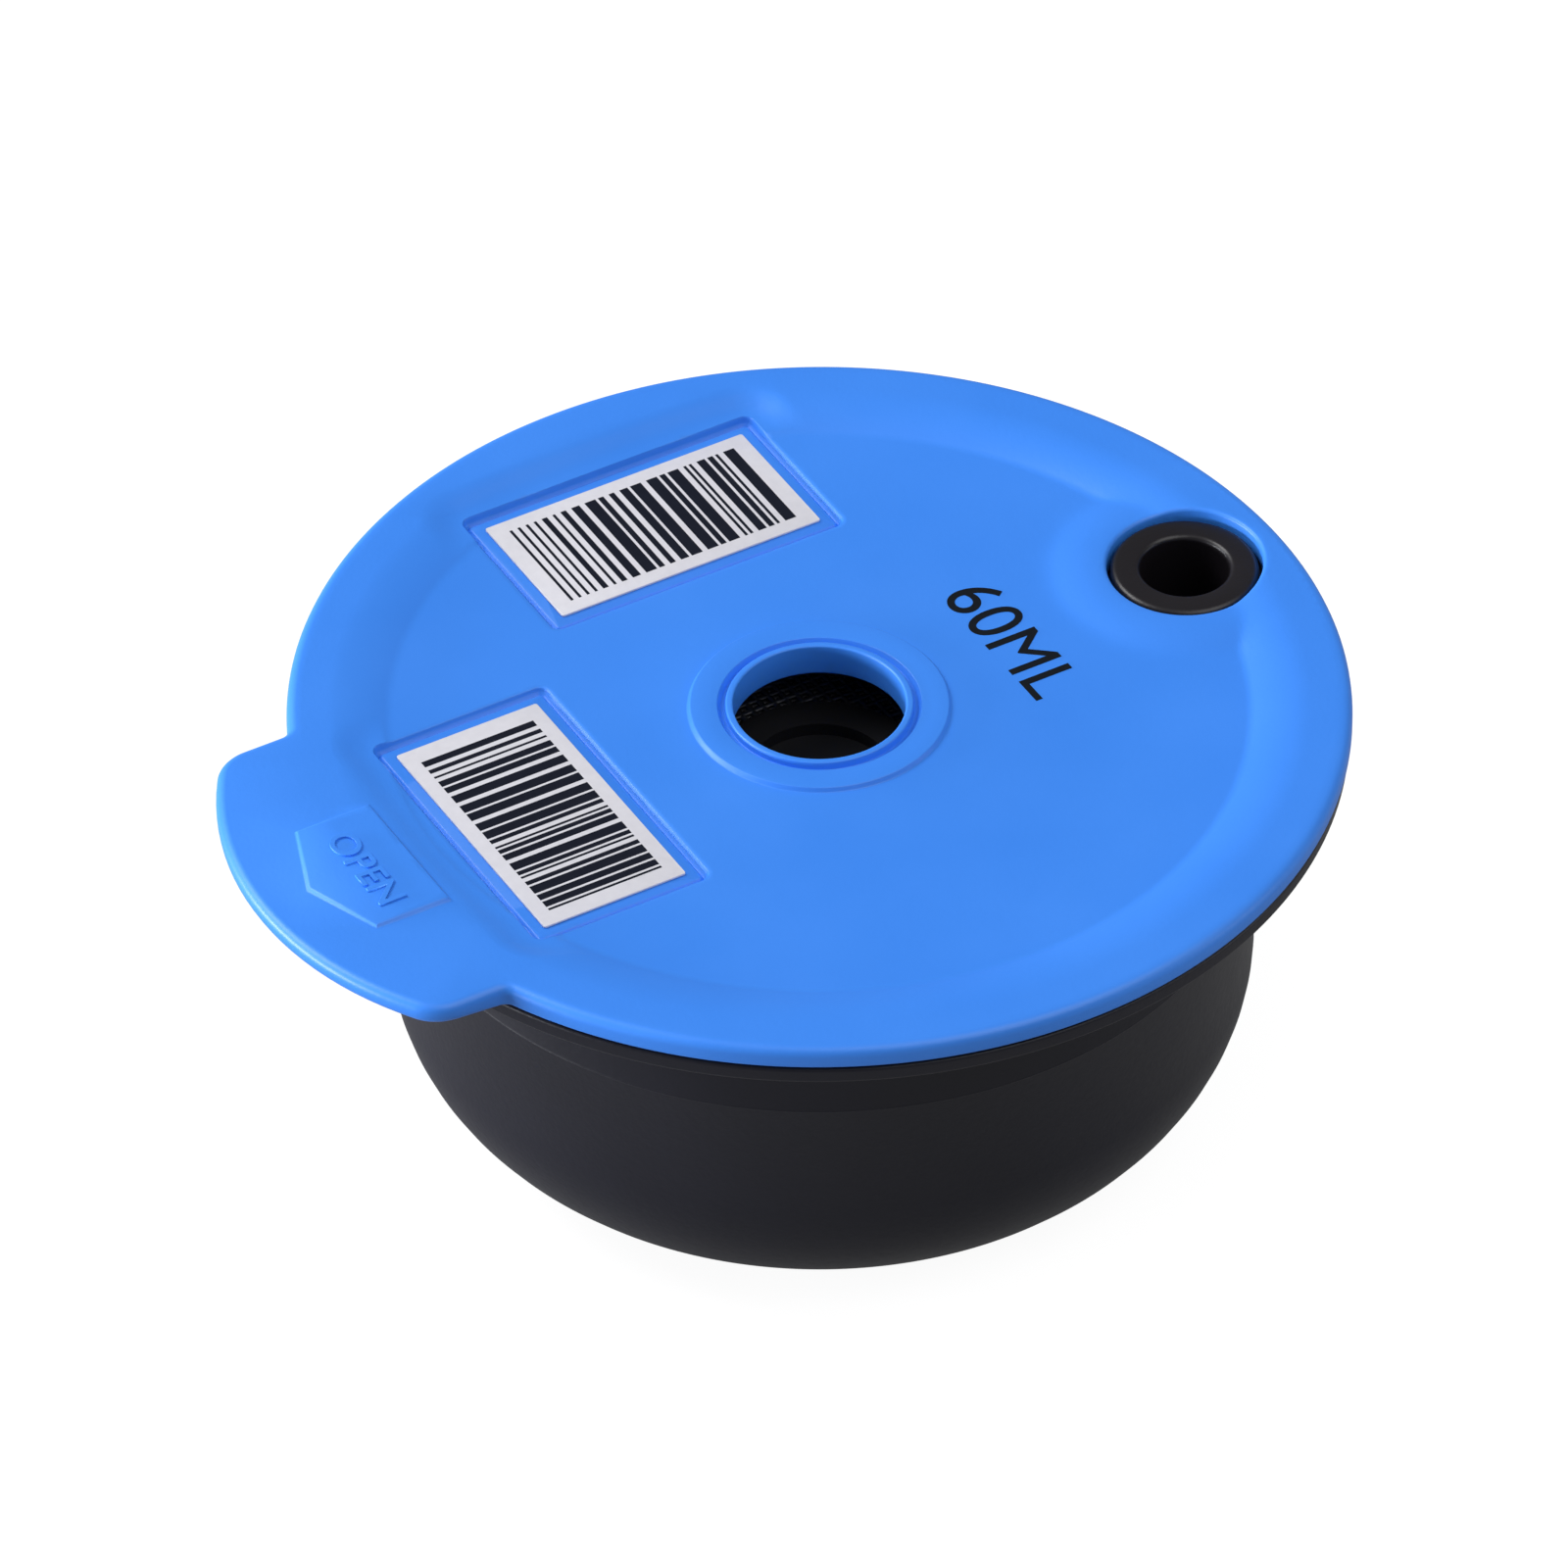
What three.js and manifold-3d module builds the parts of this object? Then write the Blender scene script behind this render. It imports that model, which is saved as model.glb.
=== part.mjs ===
// Reusable coffee capsule: a charcoal cup closed by a blue press-on lid.
// Millimetres. Z is up, Z = 0 is the flat underside of the cup, and the capsule's axis is the Z axis.
// The pull tab points along -X and the water inlet lies along +X.

import * as THREE from 'three';
import { mergeVertices } from 'three/addons/utils/BufferGeometryUtils.js';
import Module from 'manifold-3d';

const wasm = await Module();
wasm.setup();

// Overall sizes
const overallHeight = 33;
const lidDiameter = 75;
const seatGap = 0.3;

// Lid plate: a flat rim, and a dished centre with a curved slope between them
const lidThickness = 1.6;
const lidEdgeRound = 0.7;
const lidLowerChamfer = 0.2;
const rimWidth = 2.9;
const dishSlopeWidth = 4.3;
const dishDepth = 0.9;

// Central outlet, with its raised ring, groove and lip
const outletRadius = 6.1;
const outletLipWidth = 0.5;
const outletLipRise = 0.45;
const outletGrooveWidth = 0.35;
const outletGrooveRise = 0.05;
const outletRingWidth = 2.2;
const outletRingRise = 0.3;
const outletRingSlope = 0.2;
const outletTubeWall = 1.2;
const outletTubeDrop = 0.5;

// Plug rim under the lid, with the bead that snaps into the cup
const plugWall = 1.6;
const plugDepth = 3.9;
const plugChamfer = 0.4;
const beadRise = 0.3;
const beadHeight = 0.8;
const beadAboveTip = 0.9;

// Socket under the lid that holds the filter frame
const waterGap = 3.8;
const socketWall = 1.2;
const socketDepth = 3.2;

// Pull tab
const tabReach = 7.5;
const tabHalfWidth = 15.7;
const tabTipRadius = 26;
const tabCornerRadius = 3.4;
const tabEdgeRound = 0.45;
const arrowLength = 8;
const arrowHalfWidth = 5.8;
const arrowPointLength = 2.2;
const arrowFromTip = 3.9;
const arrowRise = 0.25;

// Water inlet: a low pad on the lid round a through hole
const inletFromEdge = 7.4;
const inletHoleRadius = 5.6;
const padLandWidth = 0.7;
const padSlopeWidth = 2.4;
const padRise = 0.45;

// Inlet bush
const bushBoreRadius = 3.2;
const bushNeckWall = 0.8;
const bushNeckLength = 5;
const bushTopRise = 0.25;
const bushOuterRound = 0.55;
const bushInnerRound = 0.35;

// Printed labels, each in a shallow recess of the dish
const labelLength = 21.2;
const labelWidth = 11.3;
const labelThickness = 0.15;
const labelFilm = 0.05;
const labelInset = 0.25;
const labelStagger = 0.55;
const recessBorder = 1.3;
const recessDepth = 0.3;

// Cup
const cupSetback = 6.5;
const cupWall = 1.5;
const cupFloor = 1.6;
const cupDraft = 0.2;
const footRound = 12;
const flangeSetback = 0.2;
const flangeThickness = 1.25;
const flangeEdgeRound = 0.3;
const flangeFillet = 0.9;
const mouthChamfer = 0.4;
const beadGrooveHeight = 1.5;

// Pocket in the side of the cup under the water inlet
const pocketWall = 1.4;
const pocketDepth = 11;

// Filter frame and its gauze
const filterDepth = 6.4;
const filterRimWall = 1.5;
const filterFloor = 1.2;
const filterHubRadius = 7.5;
const filterHubRise = 1;
const filterHubDimple = 5;
const filterMidRing = 1.2;
const spokeWidth = 1.2;
const spokeCount = 12;
const gauzeThickness = 0.4;

// Facets
const roundSegments = 72;
const filterSegments = 48;
const holeSegments = 36;
const arcSteps = 3;
const footSteps = 7;
const slopeSteps = 5;
const outlineSteps = 10;

// Places worked out from the sizes
const lidRadius = lidDiameter / 2;
const lidTop = overallHeight;
const rimUnderside = lidTop - lidThickness;
const dishEdge = lidRadius - rimWidth;
const dishFlat = dishEdge - dishSlopeWidth;
const dishTop = lidTop - dishDepth;
const dishUnderside = dishTop - lidThickness;
const outletTubeEnd = dishUnderside - outletTubeDrop;

const cupTop = rimUnderside - seatGap;
const cupRadius = lidRadius - cupSetback;
const mouthRadius = cupRadius - cupWall;
const flangeRadius = lidRadius - flangeSetback;
const flangeUnderside = cupTop - flangeThickness;

const plugRadius = mouthRadius - seatGap;
const plugTip = dishUnderside - plugDepth;
const plugInner = plugRadius - plugWall;
const beadLow = plugTip + beadAboveTip;

const inletX = lidRadius - inletFromEdge;
const neckRadius = bushBoreRadius + bushNeckWall;
const pocketRadius = neckRadius + seatGap;
const bushRadius = inletHoleRadius - seatGap;
const bushShoulder = cupTop + seatGap;
const bushTop = dishTop + bushTopRise;
const bushTip = bushShoulder - bushNeckLength;
const padTop = dishTop + padRise;

const filterRadius = mouthRadius - waterGap - socketWall - seatGap;
const socketInner = filterRadius + seatGap;
const filterTop = dishUnderside - seatGap;
const filterBottom = dishUnderside - filterDepth;
const filterFloorTop = filterBottom + filterFloor;
const filterRimInner = filterRadius - filterRimWall;
const filterMidRadius = (filterHubRadius + filterRimInner) / 2;
const gauzeBottom = filterFloorTop + seatGap;

const recessLength = labelLength + 2 * recessBorder;
const recessWidth = labelWidth + 2 * recessBorder;
const recessFloor = dishTop - recessDepth;
const labelRadius = dishFlat - labelInset - recessWidth / 2;
const frontLabelX = -(labelRadius - labelStagger);
const backLabelY = labelRadius + labelStagger;

// Materials
const plastic = (color, roughness) => new THREE.MeshStandardMaterial({ color, roughness, metalness: 0 });
const bluePlastic = plastic(0x448cf0, 0.45);
const charcoalPlastic = plastic(0x24252b, 0.5);
const blackRubber = plastic(0x2b2730, 0.6);
const blackPlastic = plastic(0x15161a, 0.55);
const whiteFilm = plastic(0xe6e2e8, 0.5);
const steelGauze = new THREE.MeshStandardMaterial({ color: 0xb8bcc0, roughness: 0.35, metalness: 1 });

// A closed solid from a geometry: shared corners merged, slivers dropped, faces turned outwards
function solid(geometry) {
  const bare = geometry.clone();
  for (const name of Object.keys(bare.attributes)) {
    if (name !== 'position') bare.deleteAttribute(name);
  }
  const merged = mergeVertices(bare, 1e-4);
  const points = merged.attributes.position.array;
  const corners = [];
  let volume = 0;
  for (let i = 0; i < merged.index.count; i += 3) {
    const [a, b, c] = [0, 1, 2].map((k) => merged.index.getX(i + k));
    if (a === b || b === c || c === a) continue;
    corners.push(a, b, c);
    const [p, q, r] = [a, b, c].map((k) => new THREE.Vector3().fromArray(points, 3 * k));
    volume += p.dot(q.cross(r));
  }
  if (volume < 0) corners.reverse();
  const mesh = new wasm.Mesh({
    numProp: 3,
    vertProperties: new Float32Array(points),
    triVerts: new Uint32Array(corners),
  });
  return new wasm.Manifold(mesh);
}

// A solid of revolution about Z from a profile of [radius, height] points
function turned(profile, segments = roundSegments, x = 0) {
  const points = profile.map(([radius, height]) => new THREE.Vector2(Math.max(radius, 0), height));
  const geometry = new THREE.LatheGeometry(points, segments);
  geometry.rotateX(Math.PI / 2);
  geometry.translate(x, 0, 0);
  return solid(geometry);
}

// A turned ring: its profile closes on itself
function ring(profile, segments, x) {
  return turned([...profile, profile[0]], segments, x);
}

// A plain round bar along Z
function bar(radius, low, high, x = 0, segments = holeSegments) {
  return turned([[0, low], [radius, low], [radius, high], [0, high]], segments, x);
}

// A flat plate with the outline of a shape, its two edges rounded where bevel is more than 0
function plate(shape, low, high, bevel = 0) {
  const geometry = new THREE.ExtrudeGeometry(shape, {
    depth: high - low - 2 * bevel,
    curveSegments: outlineSteps,
    bevelEnabled: bevel > 0,
    bevelThickness: bevel,
    bevelSize: bevel,
    bevelOffset: -bevel,
    bevelSegments: 3,
  });
  geometry.translate(0, 0, low + bevel);
  return solid(geometry);
}

// A rectangle centred on a point, length along its own direction
function rectangle(centreX, centreY, sizeX, sizeY) {
  const shape = new THREE.Shape();
  shape.moveTo(centreX - sizeX / 2, centreY - sizeY / 2);
  shape.lineTo(centreX + sizeX / 2, centreY - sizeY / 2);
  shape.lineTo(centreX + sizeX / 2, centreY + sizeY / 2);
  shape.lineTo(centreX - sizeX / 2, centreY + sizeY / 2);
  shape.closePath();
  return shape;
}

// Points on an arc of a profile, angles in degrees
function arc(centreRadius, centreHeight, round, from, to, steps = arcSteps) {
  return Array.from({ length: steps + 1 }, (_, i) => {
    const angle = THREE.MathUtils.degToRad(from + ((to - from) * i) / steps);
    return [centreRadius + round * Math.cos(angle), centreHeight + round * Math.sin(angle)];
  });
}

// The finished mesh of a solid
function part(name, body, material) {
  const { vertProperties, triVerts } = body.getMesh();
  const geometry = new THREE.BufferGeometry();
  geometry.setAttribute('position', new THREE.BufferAttribute(new Float32Array(vertProperties), 3));
  geometry.setIndex(new THREE.BufferAttribute(new Uint32Array(triVerts), 1));
  geometry.computeVertexNormals();
  const mesh = new THREE.Mesh(geometry, material);
  mesh.name = name;
  return mesh;
}

// The slope of the dish: steep at the flat, fading into the rim
function dishSlope() {
  return Array.from({ length: slopeSteps + 1 }, (_, i) => {
    const share = i / slopeSteps;
    return [dishFlat + dishSlopeWidth * share, lidTop - dishDepth * (1 - share) ** 2];
  });
}

function lidProfile() {
  const lipOuter = outletRadius + outletLipWidth;
  const ringInner = lipOuter + outletGrooveWidth;
  const ringOuter = ringInner + outletRingWidth;
  const tubeOuter = outletRadius + outletTubeWall;
  return [
    [outletRadius, dishTop + outletLipRise],
    [lipOuter, dishTop + outletLipRise],
    [lipOuter, dishTop + outletGrooveRise],
    [ringInner, dishTop + outletGrooveRise],
    [ringInner, dishTop + outletRingRise],
    [ringOuter, dishTop + outletRingRise],
    [ringOuter + outletRingSlope, dishTop],
    ...dishSlope(),
    ...arc(lidRadius - lidEdgeRound, lidTop - lidEdgeRound, lidEdgeRound, 90, 0),
    [lidRadius, rimUnderside + lidLowerChamfer],
    [lidRadius - lidLowerChamfer, rimUnderside],
    [plugRadius, rimUnderside],
    [plugRadius, beadLow + beadHeight],
    [plugRadius + beadRise, beadLow + beadHeight / 2],
    [plugRadius, beadLow],
    [plugRadius, plugTip + plugChamfer],
    [plugRadius - plugChamfer, plugTip],
    [plugInner, plugTip],
    [plugInner, dishUnderside],
    [socketInner + socketWall, dishUnderside],
    [socketInner + socketWall, dishUnderside - socketDepth],
    [socketInner, dishUnderside - socketDepth],
    [socketInner, dishUnderside],
    [tubeOuter, dishUnderside],
    [tubeOuter, outletTubeEnd],
    [outletRadius, outletTubeEnd],
  ];
}

// Outline of the pull tab: a shallow arc at the tip, round corners, and its root inside the flat rim
function tabShape() {
  const tipX = -lidRadius - tabReach;
  const tipCentre = tipX + tabTipRadius;
  const cornerY = tabHalfWidth - tabCornerRadius;
  const reach = tabTipRadius - tabCornerRadius;
  const cornerX = tipCentre - Math.sqrt(reach ** 2 - cornerY ** 2);
  const lean = Math.atan2(cornerY, tipCentre - cornerX);
  const root = lidRadius - rimWidth / 2;
  const rootAngle = Math.asin(tabHalfWidth / root);
  const shape = new THREE.Shape();
  shape.absarc(0, 0, root, Math.PI - rootAngle, Math.PI + rootAngle, false);
  shape.absarc(cornerX, -cornerY, tabCornerRadius, -Math.PI / 2, -Math.PI + lean, true);
  shape.absarc(tipCentre, 0, tabTipRadius, Math.PI + lean, Math.PI - lean, true);
  shape.absarc(cornerX, cornerY, tabCornerRadius, Math.PI - lean, Math.PI / 2, true);
  shape.closePath();
  return shape;
}

// The arrow-shaped plaque on the tab
function arrowShape() {
  const point = -lidRadius - tabReach + arrowFromTip;
  const base = point + arrowLength;
  const shape = new THREE.Shape();
  shape.moveTo(base, -arrowHalfWidth);
  shape.lineTo(base, arrowHalfWidth);
  shape.lineTo(point + arrowPointLength, arrowHalfWidth);
  shape.lineTo(point, 0);
  shape.lineTo(point + arrowPointLength, -arrowHalfWidth);
  shape.closePath();
  return shape;
}

function lidSolid() {
  const landRadius = inletHoleRadius + padLandWidth;
  const padFoot = (dishTop + dishUnderside) / 2;
  const pad = turned([
    [0, padFoot],
    [landRadius + padSlopeWidth, padFoot],
    [landRadius + padSlopeWidth, dishTop],
    [landRadius + padSlopeWidth / 2, dishTop + padRise * 0.6],
    [landRadius, padTop],
    [0, padTop],
  ], holeSegments, inletX);
  const padLimit = bar(dishEdge, dishUnderside, lidTop, 0, roundSegments);
  const tab = plate(tabShape(), rimUnderside, lidTop, tabEdgeRound);
  const arrow = plate(arrowShape(), rimUnderside + tabEdgeRound, lidTop + arrowRise);
  const above = lidTop + 1;
  const frontRecess = plate(rectangle(frontLabelX, 0, recessWidth, recessLength), recessFloor, above);
  const backRecess = plate(rectangle(0, backLabelY, recessLength, recessWidth), recessFloor, above);
  const inletHole = bar(inletHoleRadius, plugTip - 1, above, inletX);
  return ring(lidProfile())
    .add(pad.intersect(padLimit))
    .add(tab)
    .add(arrow)
    .subtract(frontRecess)
    .subtract(backRecess)
    .subtract(inletHole);
}

// Outside of the cup with the cavity filled: foot, round, wall, fillet and flange
function cupOutside() {
  const footFlat = cupRadius - cupDraft - footRound;
  const fillet = arc(cupRadius + flangeFillet, flangeUnderside - flangeFillet, flangeFillet, 180, 90);
  return turned([
    [0, 0],
    ...arc(footFlat, footRound, footRound, -90, 0, footSteps),
    ...fillet,
    [flangeRadius - flangeEdgeRound, flangeUnderside],
    [flangeRadius, flangeUnderside + flangeEdgeRound],
    [flangeRadius, cupTop - flangeEdgeRound],
    [flangeRadius - flangeEdgeRound, cupTop],
    [0, cupTop],
  ]);
}

function cupCavity() {
  const innerRound = footRound - cupWall;
  const floorFlat = mouthRadius - cupDraft - innerRound;
  const grooveLow = beadLow + beadHeight / 2 - beadGrooveHeight / 2;
  const grooveRadius = mouthRadius + beadRise;
  return turned([
    [0, cupFloor],
    ...arc(floorFlat, cupFloor + innerRound, innerRound, -90, 0, footSteps),
    [mouthRadius, grooveLow],
    [grooveRadius, grooveLow + beadGrooveHeight / 4],
    [grooveRadius, grooveLow + (beadGrooveHeight * 3) / 4],
    [mouthRadius, grooveLow + beadGrooveHeight],
    [mouthRadius, cupTop - mouthChamfer],
    [mouthRadius + mouthChamfer, cupTop],
    [mouthRadius + mouthChamfer, cupTop + 1],
    [0, cupTop + 1],
  ]);
}

// A round-ended bar hanging under the water inlet
function pocketBar(radius, top) {
  const centre = cupTop - pocketDepth;
  return turned([...arc(0, centre, radius, -90, 0, arcSteps), [radius, top], [0, top]], holeSegments, inletX);
}

function cupSolid() {
  return cupOutside()
    .add(pocketBar(pocketRadius + pocketWall, flangeUnderside + flangeThickness / 2))
    .subtract(cupCavity())
    .subtract(pocketBar(pocketRadius, cupTop + 1));
}

function bushSolid() {
  return ring([
    [bushBoreRadius, bushTip],
    [neckRadius, bushTip],
    [neckRadius, bushShoulder],
    [bushRadius, bushShoulder],
    ...arc(bushRadius - bushOuterRound, bushTop - bushOuterRound, bushOuterRound, 0, 90),
    ...arc(bushBoreRadius + bushInnerRound, bushTop - bushInnerRound, bushInnerRound, 90, 180),
  ], holeSegments, inletX);
}

// Floor windows between the hub and the mid ring, or between the mid ring and the rim
function windows(inner, outer) {
  const cutter = ring([
    [inner, filterBottom - 1],
    [outer, filterBottom - 1],
    [outer, filterFloorTop + 1],
    [inner, filterFloorTop + 1],
  ], filterSegments);
  const spokes = Array.from({ length: spokeCount / 2 }, (_, i) => {
    const geometry = new THREE.BoxGeometry(3 * filterRadius, spokeWidth, filterDepth);
    geometry.translate(0, 0, filterBottom);
    geometry.rotateZ((2 * Math.PI * i) / spokeCount);
    return solid(geometry);
  });
  return spokes.reduce((open, spoke) => open.subtract(spoke), cutter);
}

function filterFrameSolid() {
  const hubTop = filterFloorTop + filterHubRise;
  const frame = turned([
    [0, filterBottom],
    [filterRadius, filterBottom],
    [filterRadius, filterTop],
    [filterRimInner, filterTop],
    [filterRimInner, filterFloorTop],
    [filterHubRadius, filterFloorTop],
    [filterHubRadius, hubTop],
    [filterHubDimple, hubTop],
    [filterHubDimple, filterFloorTop],
    [0, filterFloorTop],
  ], filterSegments);
  return frame
    .subtract(windows(filterHubRadius, filterMidRadius - filterMidRing / 2))
    .subtract(windows(filterMidRadius + filterMidRing / 2, filterRimInner - seatGap));
}

function gauzeSolid() {
  return ring([
    [filterHubRadius + seatGap, gauzeBottom],
    [filterRimInner - seatGap, gauzeBottom],
    [filterRimInner - seatGap, gauzeBottom + gauzeThickness],
    [filterHubRadius + seatGap, gauzeBottom + gauzeThickness],
  ], filterSegments);
}

function labelSolid(centreX, centreY, sizeX, sizeY) {
  const low = recessFloor + labelFilm;
  return plate(rectangle(centreX, centreY, sizeX, sizeY), low, low + labelThickness);
}

const capsule = new THREE.Group();
capsule.add(part('cup', cupSolid(), charcoalPlastic));
capsule.add(part('lid', lidSolid(), bluePlastic));
capsule.add(part('inlet_bush', bushSolid(), blackRubber));
capsule.add(part('filter_frame', filterFrameSolid(), blackPlastic));
capsule.add(part('filter_mesh', gauzeSolid(), steelGauze));
capsule.add(part('label_back', labelSolid(0, backLabelY, labelLength, labelWidth), whiteFilm));
capsule.add(part('label_front', labelSolid(frontLabelX, 0, labelWidth, labelLength), whiteFilm));

export default capsule;
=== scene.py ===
import bisect
import math

import bmesh
import bpy
from mathutils import Matrix, Vector
from mathutils.geometry import delaunay_2d_cdt


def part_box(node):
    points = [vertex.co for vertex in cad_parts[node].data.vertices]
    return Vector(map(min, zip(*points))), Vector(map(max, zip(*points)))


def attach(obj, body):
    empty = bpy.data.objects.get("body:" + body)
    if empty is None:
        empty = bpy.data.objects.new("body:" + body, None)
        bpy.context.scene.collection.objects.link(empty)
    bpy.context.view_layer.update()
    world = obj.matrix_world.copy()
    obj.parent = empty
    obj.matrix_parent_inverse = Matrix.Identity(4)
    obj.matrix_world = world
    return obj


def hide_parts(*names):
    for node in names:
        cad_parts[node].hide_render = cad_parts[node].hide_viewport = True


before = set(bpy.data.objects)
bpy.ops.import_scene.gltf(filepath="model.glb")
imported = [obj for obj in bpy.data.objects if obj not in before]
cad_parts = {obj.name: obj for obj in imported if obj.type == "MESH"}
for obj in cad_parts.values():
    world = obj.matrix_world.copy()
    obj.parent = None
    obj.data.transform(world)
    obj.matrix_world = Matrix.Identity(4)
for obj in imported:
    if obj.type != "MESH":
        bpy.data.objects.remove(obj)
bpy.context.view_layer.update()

# Sizes are in millimetres up to the moment a mesh is made, and the frame gives the main ones.
MM = 0.001


def box_mm(node):
    """Lowest and highest corner of a piece of the frame, in millimetres."""
    low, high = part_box(node)
    return low / MM, high / MM


lid_low, lid_high = box_mm("lid")
cup_high = box_mm("cup")[1]
bush_low, bush_high = box_mm("inlet_bush")
filter_radius = box_mm("filter_frame")[1].x

# Clearance between pieces that are pressed together in use
SEAT_GAP = 0.3

# Lid: its rim, the slope down to its dish, and the outlet in the middle
ARROW_RISE = 0.25
LID_THICKNESS = 1.6
LID_EDGE_ROUND = 0.7
LID_LOWER_ROUND = 0.22
BORDER_MARGIN = 0.02
RIM_WIDTH = 2.9
FLAT_RIM_MARGIN = 0.4
DISH_SLOPE_WIDTH = 4.3
DISH_DEPTH = 0.9
DISH_CREASE_ROUND = 6.0
OUTLET_RADIUS = 6.1
OUTLET_TUBE_WALL = 1.2
OUTLET_TUBE_REACH = 0.5
LIP_RISE = 0.45
LIP_EDGE = 0.15
RING_RISE = 0.33
RING_GROOVE_DEPTH = 0.12
lid_radius = lid_high.y
lid_top = lid_high.z - ARROW_RISE
rim_underside = lid_top - LID_THICKNESS
dish_top = lid_top - DISH_DEPTH
dish_underside = dish_top - LID_THICKNESS
dish_edge = lid_radius - RIM_WIDTH
dish_flat = dish_edge - DISH_SLOPE_WIDTH
outlet_tube_end = dish_underside - OUTLET_TUBE_REACH
lip_top = dish_top + LIP_RISE
ring_top = dish_top + RING_RISE
ring_groove = dish_top - RING_GROOVE_DEPTH

# Lip, groove and ring round the outlet: distance from its wall, height and round of each corner
OUTLET_SECTION = (
    (LIP_EDGE, lip_top),
    (0.50, lip_top, 0.12),
    (0.60, ring_groove, 0.08),
    (0.88, ring_groove, 0.08),
    (1.12, ring_top, 0.10),
    (3.02, ring_top, 0.14),
    (3.22, dish_top, 0.14),
)

# Pull tab and its arrow-shaped plaque
TAB_HALF_WIDTH = 15.7
TAB_TIP_RADIUS = 26.0
TAB_CORNER_RADIUS = 3.4
TAB_NOTCH_ROUND = 0.9
TAB_LOWER_ROUND = 0.7
TAB_SETBACK = 0.3
TAB_EDGE_START = 3.0
TAB_EDGE_CHANGE = 4.0
ARROW_FROM_TIP = 3.75
ARROW_LENGTH = 8.0
ARROW_HALF_WIDTH = 5.8
ARROW_POINT_LENGTH = 2.2
ARROW_SOFT = 0.18
tab_tip = lid_low.x + TAB_SETBACK

# Water inlet: the hole in the lid, the pad round it, and the bore of its bush
INLET_HOLE_RADIUS = 5.6
INLET_BORE_RADIUS = 3.2
BUSH_NECK_WALL = 0.8
PAD_LAND = 0.7
PAD_SLOPE = 3.2
PAD_RISE = 0.45
PAD_BLEND = 0.16
PAD_FADE = 2.4
RIM_FADE = 1.5
HOLE_ROUND = 0.3
inlet_x = (bush_low.x + bush_high.x) / 2
pad_top = dish_top + PAD_RISE

# Cup
CUP_WALL = 1.5
CUP_FLOOR = 1.6
CUP_SETBACK = 6.5
CUP_DRAFT = 0.2
FOOT_ROUND = 12.0
FLANGE_THICKNESS = 1.25
MOUTH_CHAMFER = 0.4
PARTING_LINE_DEPTH = 11.4
cup_radius = lid_radius - CUP_SETBACK
mouth_radius = cup_radius - CUP_WALL
cup_top = cup_high.z
flange_radius = cup_high.y
flange_underside = cup_top - FLANGE_THICKNESS

# Faint parting line on the cup's wall: steps outwards and upwards from its middle
PARTING_LINE = ((-0.03, -0.15), (0.03, 0.0), (-0.02, 0.15))

# Groove in the cup's mouth for the lid's bead: its depth, and height above the plug's tip
BEAD_GROOVE = ((0.0, 0.5), (0.3, 0.9), (0.3, 1.7), (0.0, 2.1))

# Under the lid: the rim that plugs the cup, and the socket of the filter
PLUG_THICKNESS = 1.6
BEAD_HEIGHT = 1.3
BEAD_HALF_WIDTH = 0.4
BEAD_PROUD = 0.3
SOCKET_WALL = 1.2
SOCKET_DEPTH = 3.2
plug_radius = mouth_radius - SEAT_GAP
plug_tip = lid_low.z

# Pocket in the side of the cup, under the water inlet
POCKET_RADIUS = 4.3
POCKET_WALL = 1.4
POCKET_DEPTH = 11.0
POCKET_OVERLAP = 0.6

# Labels, their bars, and the recesses that hold them
LABEL_CORNER = 0.18
LABEL_EDGE_SOFT = 0.03
BAR_COUNT = 22
BAR_END_MARGIN = 1.35
BAR_SIDE_MARGIN = 1.15
INK_THICKNESS = 0.012
INK_SUNK = 0.004
RECESS_BORDER = 1.3
RECESS_CORNER = 0.7
RECESS_DEPTH = 0.3
RECESS_WALL = 0.5
RECESS_APRON = 3.0
RECESS_EDGE_SOFT = 0.10
GROOVE_INSET = 0.30
GROOVE_HALF_WIDTH = 0.24
GROOVE_DEPTH = 0.22
recess_floor = dish_top - RECESS_DEPTH

# How finely round forms are divided, and the angle above which an edge is shown sharp
ROUND = 256
SMALL_ROUND = 96
SLOPE_STEPS = 12
SMOOTH_ANGLE = 40.0

# Points closer than this are one point, in metres
MERGE = 1e-7
FINE_MERGE = 1e-8

# How much of the line to its neighbour a round corner may take up
SHARED_REACH = 0.49
FREE_REACH = 0.95

# How far a tool stands out past what it cuts
TOOL_MARGIN = 1.0


class Value:
    """A socket of a node tree; sums, differences and products of it add Math nodes."""

    def __init__(self, tree, socket):
        self.tree = tree
        self.socket = socket

    def _math(self, operation, first, second):
        return self.tree.node("ShaderNodeMath", {"operation": operation}, {0: first, 1: second})

    def __add__(self, other):
        return self._math("ADD", self, other)

    def __radd__(self, other):
        return self._math("ADD", other, self)

    def __sub__(self, other):
        return self._math("SUBTRACT", self, other)

    def __rsub__(self, other):
        return self._math("SUBTRACT", other, self)

    def __mul__(self, other):
        return self._math("MULTIPLY", self, other)

    def __rmul__(self, other):
        return self._math("MULTIPLY", other, self)

    def __truediv__(self, other):
        return self._math("DIVIDE", self, other)

    def __gt__(self, other):
        return self._math("GREATER_THAN", self, other)

    def sine(self):
        return self.tree.node("ShaderNodeMath", {"operation": "SINE"}, {0: self})

    def largest(self, other):
        return self._math("MAXIMUM", self, other)


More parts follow.
